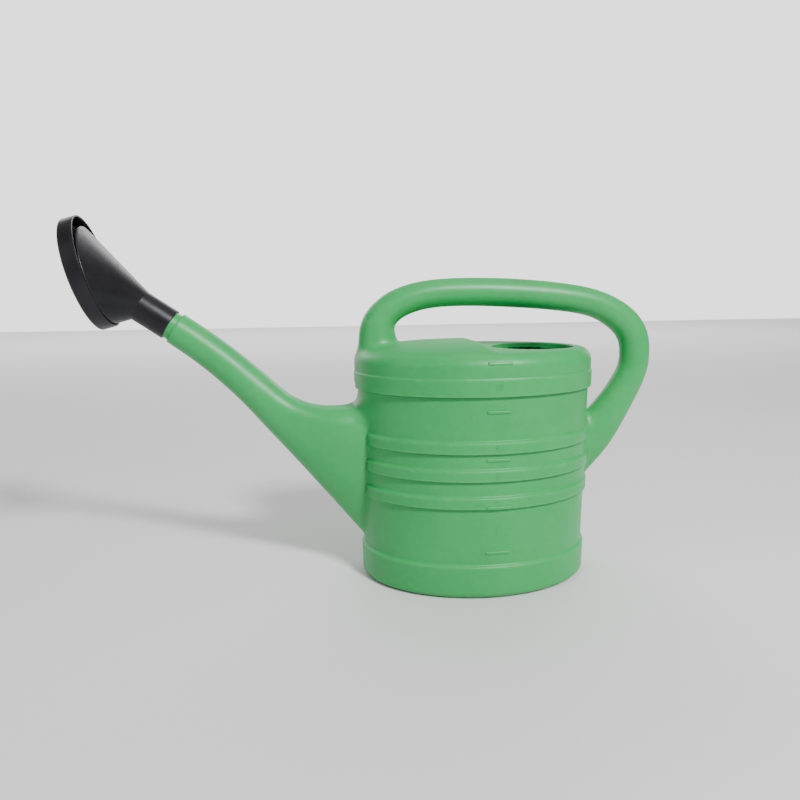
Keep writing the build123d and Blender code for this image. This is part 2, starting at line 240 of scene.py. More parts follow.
def nearest_on_handle(x, z):
    """Which point of the handle's line is nearest: the nearest of a few, then of its neighbours."""
    last = len(HANDLE_POINTS) - 1
    few = HANDLE_POINTS[::HANDLE_STRIDE]
    around = np.arange(-HANDLE_STRIDE, HANDLE_STRIDE + 1)
    nearest = np.empty(len(x), int)
    for start in range(0, len(x), BATCH):
        part = slice(start, start + BATCH)
        here_x, here_z = x[part, None], z[part, None]
        rough = ((here_x - few[:, 0]) ** 2 + (here_z - few[:, 1]) ** 2).argmin(1)
        choice = np.clip(rough[:, None] * HANDLE_STRIDE + around, 0, last)
        points = HANDLE_POINTS[choice]
        gap = (here_x - points[..., 0]) ** 2 + (here_z - points[..., 1]) ** 2
        nearest[part] = np.take_along_axis(choice, gap.argmin(1)[:, None], 1)[:, 0]
    return nearest


def handle(x, y, z):
    """Distance to the loop handle, a tube of ovals along its line."""
    shape = np.broadcast(x, z).shape
    flat_x = np.broadcast_to(x, shape).ravel()
    flat_z = np.broadcast_to(z, shape).ravel()
    nearest = nearest_on_handle(flat_x, flat_z)
    centre, tangent = HANDLE_POINTS[nearest], HANDLE_TANGENTS[nearest]
    off_x = flat_x - centre[:, 0]
    off_z = flat_z - centre[:, 1]
    along = off_x * tangent[:, 0] + off_z * tangent[:, 1]
    aside = off_z * tangent[:, 0] - off_x * tangent[:, 1]
    half = centre[:, 2:] + HANDLE_GROWTH[nearest] * along[:, None]
    past_end = np.where(nearest == 0, -along, np.where(
        nearest == len(HANDLE_POINTS) - 1, along, -1e3
    ))
    half_thick, half_wide, aside, past_end = (
        value.reshape(shape) for value in (half[:, 0], half[:, 1], aside, past_end)
    )
    return np.maximum(oval_distance(aside, y, half_thick, half_wide), past_end)


def step_up(z, low, height):
    """0 below a height, 1 once past an edge of some height above it."""
    return ease(low, low + height, z)


def growth(z, fade):
    """How far the tank's side stands out of its plain wall; fade thins the ribs."""
    foot = FOOT_BAND_PROUD * (1 - step_up(z, FOOT_BAND_TOP - UPPER_EDGE, UPPER_EDGE))
    ribs = 0.0
    for start in RIB_STARTS:
        top = start + RIB_HEIGHT
        ribs = ribs + step_up(z, start, LOWER_EDGE) * (1 - step_up(z, top - UPPER_EDGE, UPPER_EDGE))
    low, high = TOP_BAND
    band = TOP_BAND_PROUD * step_up(z, low, LOWER_EDGE)
    band = band - (TOP_BAND_PROUD - SHOULDER_PROUD) * step_up(z, high - SHOULDER_STEP, SHOULDER_STEP)
    return foot + RIB_PROUD * ribs * fade + band


def tank_side(x, y, z):
    """Distance to the tank's plain tapering wall."""
    spread = TANK_FLARE * z
    return oval_distance(x, y, TANK_HALF_LENGTH + spread, TANK_HALF_DEPTH + spread)


def top_height(x, side):
    """Height of the shoulder's top: a flat rear deck and a raised front dome."""
    inward = np.clip((-side - DOME_INSET) / DOME_REACH, 0, 1)
    dome = 1 - (1 - inward) ** 2
    return DECK_HEIGHT + DOME_RISE * dome * (1 - ease(*DOME_STEP, x))


def can_outside(x, y, z):
    """Distance to the whole moulding's outer skin."""
    spout_gap = spout(x, y, z)
    handle_gap = handle(x, y, z)
    side = tank_side(x, y, z)
    fade = ease(*RIBS_TO_SPOUT, spout_gap) * ease(*RIBS_TO_HANDLE, handle_gap)
    wall = corner(side - growth(z, fade), -z, FOOT_RADIUS)
    tank = corner(wall, z - top_height(x, side), SHOULDER_RADIUS)
    spout_fillet = SPOUT_FILLET + SADDLE_FILLET * ease(*SADDLE_HEIGHTS, z)
    return blend(blend(tank, spout_gap, spout_fillet), handle_gap, HANDLE_FILLET)


def tip_cut(x, z):
    """Distance past the plane that ends the spout."""
    turn = math.radians(TIP_HEADING)
    return (x - TIP[0]) * math.cos(turn) + (z - TIP[1]) * math.sin(turn)


def can_hollow(x, y, z):
    """Distance to the moulding's hollow: tank, filling opening and spout."""
    side = tank_side(x, y, z) + SKIN
    room = corner(side, z - top_height(x, side) + SKIN, SHOULDER_RADIUS)
    room = corner(room, SKIN - z, FOOT_RADIUS)
    passage = spout(x, y, z) + TIP_SKIN + (SPOUT_SKIN - TIP_SKIN) * ease(*SPOUT_SKIN_START, x)
    hole = np.sqrt((x - FILL_X) ** 2 + y ** 2) - FILL_RADIUS
    hole = np.maximum(hole, np.abs(z - DECK_HEIGHT) - 3 * SKIN)
    return np.minimum(blend(room, passage, PASSAGE_FILLET), hole)


def can(x, y, z):
    """Distance to the moulding itself, with its hollow and its cut tip."""
    body = corner(can_outside(x, y, z), tip_cut(x, z), TIP_EDGE)
    return corner(body, -can_hollow(x, y, z), LIP_EDGE)


# ------------------------------------------------------------------ skins from distances
def levels(low, high, pitch, *fine):
    """Grid lines from low to high, closer within each (from, to, pitch)."""
    lines = [low]
    while lines[-1] < high:
        step = min([pitch] + [
            span_pitch for start, end, span_pitch in fine if start <= lines[-1] + 1e-6 < end
        ])
        ahead = [start - lines[-1] for start, _, _ in fine if lines[-1] + 1e-6 < start]
        if ahead and min(ahead) < step * 1.5:
            step = min(ahead)
        lines.append(lines[-1] + step)
    return np.array(lines)


def slope_of(shape, points, reach=0.04):
    """The outward direction of a distance at points, and how steeply it grows there."""
    x, y, z = points.T
    ahead = np.stack([
        shape(x + reach, y, z) - shape(x - reach, y, z),
        shape(x, y + reach, z) - shape(x, y - reach, z),
        shape(x, y, z + reach) - shape(x, y, z - reach),
    ], 1)
    length = np.linalg.norm(ahead, axis=1)[:, None] + 1e-12
    return ahead / length, length / (2 * reach)


CROSSING_STEPS = 3
SETTLING_STEPS = 2
PULL_TO_MIDDLE = 0.08          # keeps a corner near its crossings where the skin is flat
SLAB = 12                      # grid layers worked out at a time


def crossings(shape, start, axis, length, value_low, value_high):
    """Where a shape's skin cuts grid edges, which leave their starts along an axis."""
    def along(share):
        point = start.copy()
        point[:, axis] += share * length
        return point

    at_start = value_low
    left, right = np.zeros(len(start)), np.ones(len(start))
    share = value_low / (value_low - value_high)
    for _ in range(CROSSING_STEPS):
        value = shape(*along(share).T)
        same = (value < 0) == (at_start < 0)
        left = np.where(same, share, left)
        right = np.where(same, right, share)
        value_low, value_high = np.where(same, value, value_low), np.where(same, value_high, value)
        share = left + (right - left) * np.clip(
            value_low / (value_low - value_high + 1e-15), 0.02, 0.98
        )
    return along(share)


def cells_around(spots, axis, cells):
    """The numbers of the four grid cells around each grid edge, in turning order."""
    one, two = (axis + 1) % 3, (axis + 2) % 3
    around = []
    for back_one, back_two in ((0, 0), (1, 0), (1, 1), (0, 1)):
        cell = spots.copy()
        cell[:, one] -= back_one
        cell[:, two] -= back_two
        around.append((cell[:, 0] * cells[1] + cell[:, 1]) * cells[2] + cell[:, 2])
    return np.stack(around, 1)


def best_corners(places, ways, index):
    """For each cell, the point that lies best on the planes through its crossings."""
    count = np.bincount(index).astype(float)
    middle = np.stack([np.bincount(index, places[:, k]) for k in range(3)], 1) / count[:, None]
    push = (ways * (places - middle[index])).sum(1)
    matrix = np.zeros((len(middle), 3, 3))
    vector = np.zeros((len(middle), 3))
    for row in range(3):
        vector[:, row] = np.bincount(index, ways[:, row] * push)
        for column in range(3):
            matrix[:, row, column] = np.bincount(index, ways[:, row] * ways[:, column])
    matrix += np.eye(3) * PULL_TO_MIDDLE
    return middle + np.linalg.solve(matrix, vector[..., None])[..., 0]


def skin_of(shape, *lines):
    """Corners, outward directions and four-sided faces of a shape's skin, by dual contouring."""
    xs, ys, zs = lines
    grid = np.empty([len(line) for line in lines])
    for k in range(0, len(xs), SLAB):
        slab = xs[k:k + SLAB, None, None]
        grid[k:k + SLAB] = shape(slab, ys[None, :, None], zs[None, None, :])
    inside = grid < 0
    cells = [len(line) - 1 for line in lines]
    places, cell_ids, quads = [], [], []
    for axis in range(3):
        low, high = [slice(None)] * 3, [slice(None)] * 3
        low[axis], high[axis] = slice(None, -1), slice(1, None)
        low, high = tuple(low), tuple(high)
        change = inside[low] != inside[high]
        spots = np.argwhere(change)
        start = np.stack([lines[k][spots[:, k]] for k in range(3)], 1)
        length = np.diff(lines[axis])[spots[:, axis]]
        point = crossings(shape, start, axis, length, grid[low][change], grid[high][change])
        around = cells_around(spots, axis, cells)
        places.append(np.repeat(point, 4, 0))
        cell_ids.append(around.ravel())
        outward = inside[low][change]
        quads.append(np.where(outward[:, None], around, around[:, ::-1]))
    places = np.vstack(places)
    ways = np.repeat(slope_of(shape, places[::4])[0], 4, 0)
    names, index = np.unique(np.concatenate(cell_ids), return_inverse=True)
    corners = best_corners(places, ways, index)
    cell = np.stack(np.unravel_index(names, cells), 1)
    for k in range(3):
        corners[:, k] = np.clip(corners[:, k], lines[k][cell[:, k]], lines[k][cell[:, k] + 1])
    for _ in range(SETTLING_STEPS):
        way, steep = slope_of(shape, corners)
        corners -= way * (shape(*corners.T)[:, None] / np.maximum(steep, 0.3))
    faces = np.searchsorted(names, np.vstack(quads))
    return corners, way, faces


def add_mesh(name, corners, faces, ways=None):
    """A mesh object from millimetre corners, smooth, with given directions where there are any."""
    mesh = bpy.data.meshes.new(name)
    mesh.from_pydata((np.asarray(corners) * MM).tolist(), [], [list(face) for face in faces])
    mesh.validate()
    mesh.shade_smooth()
    if ways is not None:
        mesh.normals_split_custom_set_from_vertices(np.asarray(ways).tolist())
    piece = bpy.data.objects.new(name, mesh)
    bpy.context.scene.collection.objects.link(piece)
    return piece


def mark_edges(piece, corners, ways, reach=1.3, open_nook=0.12):
    """Notes on every corner how sharp an outer edge (+) or an overhung nook (-) it lies on; the green
    material turns these into a painted highlight along the edges and painted shade in the nooks.
    """
    x, y, z = corners.T
    bend = (
        can_outside(x + reach, y, z) + can_outside(x - reach, y, z)
        + can_outside(x, y + reach, z) + can_outside(x, y - reach, z)
        + can_outside(x, y, z + reach) + can_outside(x, y, z - reach)
        - 6 * can_outside(x, y, z)
    )
    # nooks that face up or sideways get only a little of the painted shade; overhung ones, where
    # shadow falls, get all of it
    bend = np.where((bend < 0) & (ways[:, 2] > -0.05), bend * open_nook, bend)
    attribute = piece.data.attributes.new("edge", "FLOAT", "POINT")
    attribute.data.foreach_set("value", np.clip(bend / reach * 1.6, -1, 1).astype(np.float32))


def make_can():
    """The green moulding as one continuous skin, on a grid that is closer at crisp edges."""
    coarse = 3.55
    soft, crisp = 0.9, 0.4
    close = [(start - 0.6, start + 1.8, crisp) for start in RIB_STARTS + [TOP_BAND[0]]]
    close += [(start + RIB_HEIGHT - 4.0, start + RIB_HEIGHT + 0.6, soft) for start in RIB_STARTS]
    close += [
        (FOOT_BAND_TOP - 4.0, FOOT_BAND_TOP + 0.6, soft), (TOP_BAND[1] - 2.6, TOP_BAND[1] + 0.8, 0.7),
        (-0.6, FOOT_RADIUS, 1.4), (DECK_HEIGHT - 5.0, DECK_HEIGHT + 0.6, soft),
    ]
    xs = levels(-336.0, 212.0, coarse, (-334.4, -308.0, 1.2))
    ys = levels(-108.3, 108.3, coarse)
    zs = levels(-0.6, 336.0, coarse, (255.0, 299.0, 1.6), *close)
    corners, ways, faces = skin_of(can, xs, ys, zs)
    piece = add_mesh("can_body", corners, faces, ways)
    mark_edges(piece, corners, ways)
    return piece


# ------------------------------------------------------------------ rings, plates and marks
class Stand:
    """A flat place in the can's middle plane that faces a heading, in degrees from +X to +Z."""

    def __init__(self, x, z, heading):
        turn = math.radians(heading)
        self.origin = np.array([x, 0.0, z])
        self.across = np.array([0.0, 1.0, 0.0])
        self.ahead = np.array([math.cos(turn), 0.0, math.sin(turn)])
        self.down = np.array([-math.sin(turn), 0.0, math.cos(turn)])

    def spots(self, across, down, ahead):
        """Points at distances across, down and ahead of the origin."""
        across, down, ahead = np.broadcast_arrays(across, down, ahead)
        return (
            self.origin + across[..., None] * self.across + down[..., None] * self.down
            + ahead[..., None] * self.ahead
        )

    def ring(self, half_across, half_down, ahead, count, drop=0.0):
        """An oval ring of points."""
        angles = 2 * np.pi * np.arange(count) / count
        return self.spots(
            half_across * np.sin(angles), drop + half_down * np.cos(angles), float(ahead)
        )


def sleeve(rings, closed=True):
    """Corners and faces of a skin through rings of the same count, joined end to start if closed."""
    count = len(rings[0])
    faces = []
    last = len(rings) if closed else len(rings) - 1
    for row in range(last):
        here, there = row * count, (row + 1) % len(rings) * count
        for k in range(count):
            after = (k + 1) % count
            faces.append((here + k, here + after, there + after, there + k))
    return np.vstack(rings), faces


def joined(parts):
    """One set of corners and faces from several."""
    corners, faces, start = [], [], 0
    for part_corners, part_faces in parts:
        corners.append(part_corners)
        faces += [tuple(start + k for k in face) for face in part_faces]
        start += len(part_corners)
    return np.vstack(corners), faces


SPIGOT_STAND = Stand(*TIP, TIP_HEADING)
FACE_STAND = Stand(-411.6, 338.8, 195.0)
MOUTH_DROP = 4.7
MOUTH_STAND = Stand(*(FACE_STAND.origin + MOUTH_DROP * FACE_STAND.down)[[0, 2]], 195.0)
RING_COUNT = 144


def round_ends(start, end, outer, inner, edge):
    """Stations (distance, radius) of a tube's section with softened ends."""
    bevel = edge * (1 - math.sqrt(0.5))
    return [
        (start + edge, outer), (start + bevel, outer - bevel), (start, outer - edge),
        (start, inner + edge), (start + bevel, inner + bevel), (start + edge, inner),
        (end - edge, inner), (end - bevel, inner + bevel), (end, inner + edge),
        (end, outer - edge), (end - bevel, outer - bevel), (end - edge, outer),
    ]


def make_spigot():
    """The round end of the spout that the rose turns on."""
    stations = round_ends(-3.0, SPIGOT_LENGTH, SPIGOT_RADIUS, SPIGOT_BORE, 0.6)
    rings = [SPIGOT_STAND.ring(r, r, d, RING_COUNT) for d, r in stations]
    return add_mesh("spigot_tube", *sleeve(rings[::-1]))


SOCKET_START, SOCKET_END = 6.0, 42.0
SOCKET_BORE, SOCKET_RADIUS = 15.08, 16.8
THROAT = 13.2
MOUTH_RADIUS = 48.7
SHOULDER_REACH = 51.7          # the funnel's shoulder behind the cap's rear edge
ROSE_WALL = 1.8
SKIRT = 13.5


def make_rose_housing():
    """Socket and spreading funnel of the rose: out along the outside, back along the inside."""
    def round_at(distance, radius):
        return SPIGOT_STAND.ring(radius, radius, distance, RING_COUNT)

    def mouth_at(ahead, radius):
        return MOUTH_STAND.ring(radius, radius, ahead, RING_COUNT)

    def between(start, end, shares):
        return [start + (end - start) * share for share in shares]

    outer_start = round_at(SOCKET_END, SOCKET_RADIUS)
    outer_end = mouth_at(-SKIRT - 0.9, SHOULDER_REACH)
    inner_start = round_at(SOCKET_END, THROAT)
    inner_end = mouth_at(-SKIRT, MOUTH_RADIUS - ROSE_WALL)
    shares = [0.006, 0.012, 0.03, 0.1, 0.2, 0.32, 0.44, 0.56, 0.68, 0.8, 0.9, 0.97, 1.0]
    socket = [
        (SOCKET_START, SOCKET_BORE + 0.5), (SOCKET_START, SOCKET_RADIUS - 0.6),
        (SOCKET_START + 0.2, SOCKET_RADIUS - 0.2), (SOCKET_START + 0.7, SOCKET_RADIUS),
        (SOCKET_START + 2.0, SOCKET_RADIUS), (SOCKET_START + 10.0, SOCKET_RADIUS),
        (SOCKET_START + 22.0, SOCKET_RADIUS), (SOCKET_END - 1.2, SOCKET_RADIUS),
        (SOCKET_END - 0.4, SOCKET_RADIUS),
    ]
    shoulder_and_mouth = [
        (-SKIRT - 0.3, SHOULDER_REACH), (-SKIRT - 0.1, SHOULDER_REACH - 0.2),
        (-SKIRT - 0.1, MOUTH_RADIUS + 0.4), (-SKIRT + 0.3, MOUTH_RADIUS),
        (-ROSE_WALL - 0.5, MOUTH_RADIUS), (-ROSE_WALL, MOUTH_RADIUS - 0.5),
        (-ROSE_WALL, MOUTH_RADIUS - ROSE_WALL + 0.4), (-ROSE_WALL - 0.5, MOUTH_RADIUS - ROSE_WALL),
    ]
    bore = [
        (SOCKET_END - 1.6, THROAT), (SOCKET_END - 1.8, THROAT + 0.2),
        (SOCKET_END - 1.8, SOCKET_BORE - 0.1), (SOCKET_END - 2.0, SOCKET_BORE),
        (SOCKET_START + 0.6, SOCKET_BORE),
    ]
    rings = [round_at(*station) for station in socket]
    rings += between(outer_start, outer_end, shares)
    rings += [mouth_at(*station) for station in shoulder_and_mouth]
    rings += between(inner_start, inner_end, shares)[::-1]
    rings += [round_at(*station) for station in bore]
    return add_mesh("rose_funnel", *sleeve(rings[::-1]))


FACE_HALF_WIDTH, FACE_HALF_LENGTH = 52.0, 59.0
FACE_DOME = 8.5
HOLE_RADIUS = 0.9
HOLE_PITCH = 8.4
HOLE_RINGS = 5
HOLE_SIDES = 12
COLLAR_RADIUS, COLLAR_WALL = 46.8, 1.5
COLLAR_END = 9.8               # how far the collar reaches behind the rim's plane
COLLAR_SINK = 0.4              # how far it goes into the face's back
PLATE_SHARE = 0.94             # how much of the oval is the pierced plate, the rest is its rim
PLATE_GRID = 4.0               # distance between the plate's inner corners


def spray_holes():
    """Middles of the fine holes, across and down from the face's centre."""
    spots = [(0.0, MOUTH_DROP)]
    for ring in range(1, HOLE_RINGS + 1):
        for step in range(6 * ring):
            angle = 2 * math.pi * step / (6 * ring)
            away = ring * HOLE_PITCH
            spots.append((away * math.cos(angle), MOUTH_DROP + away * math.sin(angle)))
    return spots


def dome_height(across, down, inset):
    """How far the domed face stands ahead of its rim."""
    share = (across / (FACE_HALF_WIDTH - inset)) ** 2 + (down / (FACE_HALF_LENGTH - inset)) ** 2
    return FACE_DOME * np.sqrt(np.maximum(1 - share, 0)) - inset


def plate_with_holes():
    """Flat corners and faces of the face's oval, its holes left open, and each hole's corners."""
    half_across = FACE_HALF_WIDTH * PLATE_SHARE
    half_down = FACE_HALF_LENGTH * PLATE_SHARE
    angles = 2 * np.pi * np.arange(RING_COUNT) / RING_COUNT
    points = list(zip(half_across * np.sin(angles), half_down * np.cos(angles)))
    edges = [(k, (k + 1) % RING_COUNT) for k in range(RING_COUNT)]
    holes = []
    for across, down in spray_holes():
        start = len(points)
        for side in range(HOLE_SIDES):
            turn = 2 * math.pi * side / HOLE_SIDES
            points.append((
                across + HOLE_RADIUS * math.cos(turn), down + HOLE_RADIUS * math.sin(turn)
            ))
        corners = list(range(start, start + HOLE_SIDES))
        edges += [(k, corners[(n + 1) % HOLE_SIDES]) for n, k in enumerate(corners)]
        holes.append(corners)
    middles = spray_holes()
    for row in range(-15, 16):
        for column in range(-13, 14):
            spot = ((column + row % 2 / 2) * PLATE_GRID, row * PLATE_GRID * 0.9)
            inside = (spot[0] / half_across) ** 2 + (spot[1] / half_down) ** 2 < 0.93
            clear = min(math.dist(spot, middle) for middle in middles) > HOLE_RADIUS + 1.1
            if inside and clear:
                points.append(spot)
    flat, _, faces, _, _, _ = delaunay_2d_cdt(
        [Vector(point) for point in points], edges, [], 0, 1e-6
    )
    flat = np.array([tuple(point) for point in flat])
    kept = []
    for face in faces:
        middle = flat[list(face)].mean(0)
        if min(math.dist(middle, hole) for hole in middles) > HOLE_RADIUS * 0.98:
            kept.append(tuple(face))
    return flat, kept, holes


def face_plate():
    """The domed plate, front and back, with the walls of its holes."""
    flat, plate, holes = plate_with_holes()
    count = len(flat)
    back = flat.copy()
    back[:RING_COUNT] *= 1 - ROSE_WALL / np.array([FACE_HALF_WIDTH, FACE_HALF_LENGTH])
    corners = np.vstack([
        FACE_STAND.spots(flat[:, 0], flat[:, 1], dome_height(*flat.T, 0.0)),
        FACE_STAND.spots(back[:, 0], back[:, 1], dome_height(*back.T, ROSE_WALL)),
    ])
    faces = []
    for face in plate:
        first, second, third = flat[list(face[:3])]
        turn = np.linalg.det([second - first, third - first])
        outward = face if turn > 0 else face[::-1]
        faces.append(outward)
        faces.append(tuple(count + k for k in outward[::-1]))
    for hole in holes:
        for n, k in enumerate(hole):
            after = hole[(n + 1) % HOLE_SIDES]
            faces.append((k, count + k, count + after, after))
    return corners, faces


def face_skirt():
    """The face's rounded rim and the deep skirt behind it, outside and inside."""
    def rim(inset, turn):
        wide, long = FACE_HALF_WIDTH - inset, FACE_HALF_LENGTH - inset
        rise = FACE_DOME * math.sin(turn) - inset
        return FACE_STAND.ring(wide * math.cos(turn), long * math.cos(turn), rise, RING_COUNT)

    turns = [math.acos(PLATE_SHARE) * k / 6 for k in range(7)]
    rings = [rim(0.0, turn) for turn in turns[::-1]]
    for inset, depth in ((0.0, 0.8), (0.0, 6.0), (0.0, 13.1), (0.1, 13.35), (0.4, SKIRT),
                         (ROSE_WALL - 0.3, SKIRT), (ROSE_WALL, SKIRT - 0.4), (ROSE_WALL, 6.0),
                         (ROSE_WALL, ROSE_WALL + 0.6)):
        rings.append(FACE_STAND.ring(
            FACE_HALF_WIDTH - inset, FACE_HALF_LENGTH - inset, -depth, RING_COUNT
        ))
    rings += [rim(ROSE_WALL, turn) for turn in turns]
    return sleeve(rings[::-1], closed=False)


def face_collar():
    """The collar that plugs into the funnel, sunk a little into the back of the dome."""
    inner = COLLAR_RADIUS - COLLAR_WALL
    stations = [
        (-COLLAR_END, COLLAR_RADIUS - 0.4), (0.5 - COLLAR_END, COLLAR_RADIUS), (0.0, COLLAR_RADIUS),
        (0.0, inner), (0.5 - COLLAR_END, inner), (-COLLAR_END, inner + 0.4),
    ]
    rings = [MOUTH_STAND.ring(radius, radius, ahead, RING_COUNT) for ahead, radius in stations]
    for row in (2, 3):
        spots = rings[row] - FACE_STAND.origin
        across, down = spots @ FACE_STAND.across, spots @ FACE_STAND.down
        rise = dome_height(across, down, ROSE_WALL) + COLLAR_SINK
        rings[row] = FACE_STAND.spots(across, down, rise)
    return sleeve(rings[::-1])


def make_rose_face():
    """The domed, pierced face with its skirt and its collar."""
    return add_mesh("rose_sprinkler", *joined([face_plate(), face_skirt(), face_collar()]))


def wall_spots(x, z):
    """Points on the near side of the tank's skin, and its outward directions there."""
    x, z = np.asarray(x, float), np.asarray(z, float)
    low, high = np.full(x.shape, -115.0), np.full(x.shape, -60.0)
    for _ in range(26):
        middle = (low + high) / 2
        outside = can_outside(x, middle, z) > 0
        low, high = np.where(outside, middle, low), np.where(outside, high, middle)
    points = np.stack([x, low, z], 1)
    return points, slope_of(can_outside, points)[0]


MARK_X = 4.5
MARK_HEIGHTS = [49.5 + 49.3 * k for k in range(5)]
DASH_HALF_LONG, DASH_HALF_TALL = 12.5, 1.55
DASH_PROUD = 0.85
DASH_EDGE = [-0.4, 0.3, 0.62]  # heights of a dash's sunk foot, side and bevel
FIGURE_SIZE = 9.5
FIGURE_PROUD = 0.15            # from the wall to the middle of a figure's depth
FIGURE_HALF_DEPTH = 0.12
FIGURES = [
    # x, height, litres
    (3.5, 222.7, "10"), (3.0, 161.0, "8"), (3.2, 132.0, "6"), (3.0, 105.4, "4"), (4.0, 72.0, "2"),
]


def edged(half, bevel, inner):
    """Places across a dash from edge to edge, with the two corners of each edge and its bevel."""
    near = [half - bevel, half, half]
    return np.array([-place for place in near[::-1]] + list(inner) + near)


def make_level_marks():
    """Five raised dashes on the near side, one for each two litres, soft at their edges."""
    across = edged(DASH_HALF_LONG, 0.15, np.linspace(-DASH_HALF_LONG, DASH_HALF_LONG, 22)[1:-1])
    up = edged(DASH_HALF_TALL, 0.16, (0.55 - DASH_HALF_TALL, 0.0, DASH_HALF_TALL - 0.55))
    lift_across, lift_up = (
        np.array(DASH_EDGE + [DASH_PROUD] * (len(places) - 6) + DASH_EDGE[::-1])
        for places in (across, up)
    )
    lift = np.minimum(lift_across[:, None], lift_up[None, :]).reshape(-1, 1)
    rows = len(up)
    faces = []
    for column in range(len(across) - 1):
        for row in range(rows - 1):
            here = column * rows + row
            faces.append((here, here + rows, here + rows + 1, here + 1))
    dashes = []
    for height in MARK_HEIGHTS:
        grid_x, grid_z = np.meshgrid(MARK_X + across, height + up, indexing="ij")
        spots, ways = wall_spots(grid_x.ravel(), grid_z.ravel())
        dashes.append((spots + ways * lift, faces))
    return add_mesh("level_dashes", *joined(dashes))


def make_numerals():
    """Small raised figures beside the dashes, for the litres."""
    figures = []
    for x, z, litres in FIGURES:
        text = bpy.data.curves.new("figure", "FONT")
        text.body = litres
        text.size = FIGURE_SIZE
        text.extrude = FIGURE_HALF_DEPTH
        text.bevel_depth = FIGURE_HALF_DEPTH
        text.resolution_u = 4
        text.align_x = "CENTER"
        text.align_y = "CENTER"
        helper = bpy.data.objects.new("figure", text)
        flat = helper.to_mesh()
        spots = np.array([tuple(corner.co) for corner in flat.vertices])
        points, ways = wall_spots(x + spots[:, 0], z + spots[:, 1])
        faces = [tuple(face.vertices) for face in flat.polygons]
        figures.append((points + ways * (spots[:, 2:] + FIGURE_PROUD), faces))
        helper.to_mesh_clear()
        bpy.data.objects.remove(helper)
        bpy.data.curves.remove(text)
    return add_mesh("litre_figures", *joined(figures))


# ------------------------------------------------------------------ looks
GREEN_DEEP = (0.016, 0.306, 0.073, 1)
GREEN_LIGHT = (0.021, 0.334, 0.083, 1)
# pale tone for the random mottle and specks, and also the painted highlight along the outer edges
GREEN_PALE_AND_HIGHLIGHT = (0.045, 0.400, 0.115, 1)
GREEN_WORN = (0.130, 0.500, 0.210, 1)
# dark green of the painted shade in the overhung nooks
GREEN_NOOK_SHADE = (0.003, 0.075, 0.016, 1)
BLACK_DEEP = (0.0040, 0.0038, 0.0050, 1)
BLACK_SOFT = (0.0070, 0.0066, 0.0082, 1)
BLACK_DUSTY = (0.030, 0.029, 0.032, 1)


class Wire:
    """A value in a material. Arithmetic on it adds Math or Vector Math nodes."""

    def __init__(self, look, socket):
        self.look = look
        self.socket = socket

    def combine(self, operation, one, other):
        kind = "ShaderNodeVectorMath" if self.socket.type == "VECTOR" else "ShaderNodeMath"
        return self.look.add(kind, {"operation": operation}, {0: one, 1: other})

    def __add__(self, other):
        return self.combine("ADD", self, other)

    def __radd__(self, other):
        return self.combine("ADD", other, self)

    def __sub__(self, other):
        return self.combine("SUBTRACT", self, other)

    def __rsub__(self, other):
        return self.combine("SUBTRACT", other, self)

    def __mul__(self, other):
        return self.combine("MULTIPLY", self, other)

    def __rmul__(self, other):
        return self.combine("MULTIPLY", other, self)

    def __truediv__(self, other):
        return self.combine("DIVIDE", self, other)

    def __rtruediv__(self, other):
        return self.combine("DIVIDE", other, self)

    def __abs__(self):
        return self.look.add("ShaderNodeMath", {"operation": "ABSOLUTE"}, {0: self})

    def between(self, low, high):
        """0 below low, 1 above high, smooth between."""
        return self.look.add(
            "ShaderNodeMapRange", {"interpolation_type": "SMOOTHSTEP"},
            {"Value": self, "From Min": low, "From Max": high},
        )


class Look:
    """One material and the nodes that make it."""

    def __init__(self, name):
        self.material = bpy.data.materials.new(name)
        self.material.use_nodes = True
        self.tree = self.material.node_tree
        self.tree.nodes.clear()

    def add(self, kind, settings, values, output=0):
        """A new node: its settings first, then its inputs, each a number or a Wire."""
        node = self.tree.nodes.new(kind)
        for name, value in settings.items():
            setattr(node, name, value)
        for name, value in values.items():
            if isinstance(value, Wire):
                self.tree.links.new(value.socket, node.inputs[name])
            else:
                node.inputs[name].default_value = value
        return Wire(self, node.outputs[output]) if len(node.outputs) else node

    def place(self, scale=(1, 1, 1)):
        """The place on the piece in millimetres, stretched by a scale."""
        spot = self.add("ShaderNodeTexCoord", {}, {}, "Object")
        return spot * tuple(1000 * share for share in scale)

    def noise(self, grain, detail=3.0, rough=0.55, scale=(1, 1, 1), twist=0.0):
        """Soft random variation, 0 to 1, with patches about a grain wide."""
        return self.add("ShaderNodeTexNoise", {}, {
            "Vector": self.place(scale), "Scale": 1 / grain, "Detail": detail,
            "Roughness": rough, "Distortion": twist,
        })

    def mix(self, share, one, other):
        """A colour between two colours."""
        return self.add("ShaderNodeMix", {"data_type": "RGBA"}, {0: share, 6: one, 7: other}, 2)

    def height(self, value, depth, below=None):
        """A surface direction raised by a value, depth in millimetres."""
        values = {"Height": value, "Distance": depth * MM, "Strength": 1.0}
        if below is not None:
            values["Normal"] = below
        return self.add("ShaderNodeBump", {}, values)

    def finish(self, colour, roughness, normal, **constants):
        """The material itself; a constant's underscores stand for the spaces of its input."""
        values = {"Base Color": colour, "Roughness": roughness, "Normal": normal}
        values.update({name.replace("_", " "): value for name, value in constants.items()})
        shader = self.add("ShaderNodeBsdfPrincipled", {}, values)
        self.add("ShaderNodeOutputMaterial", {}, {"Surface": shader})
        return self.material


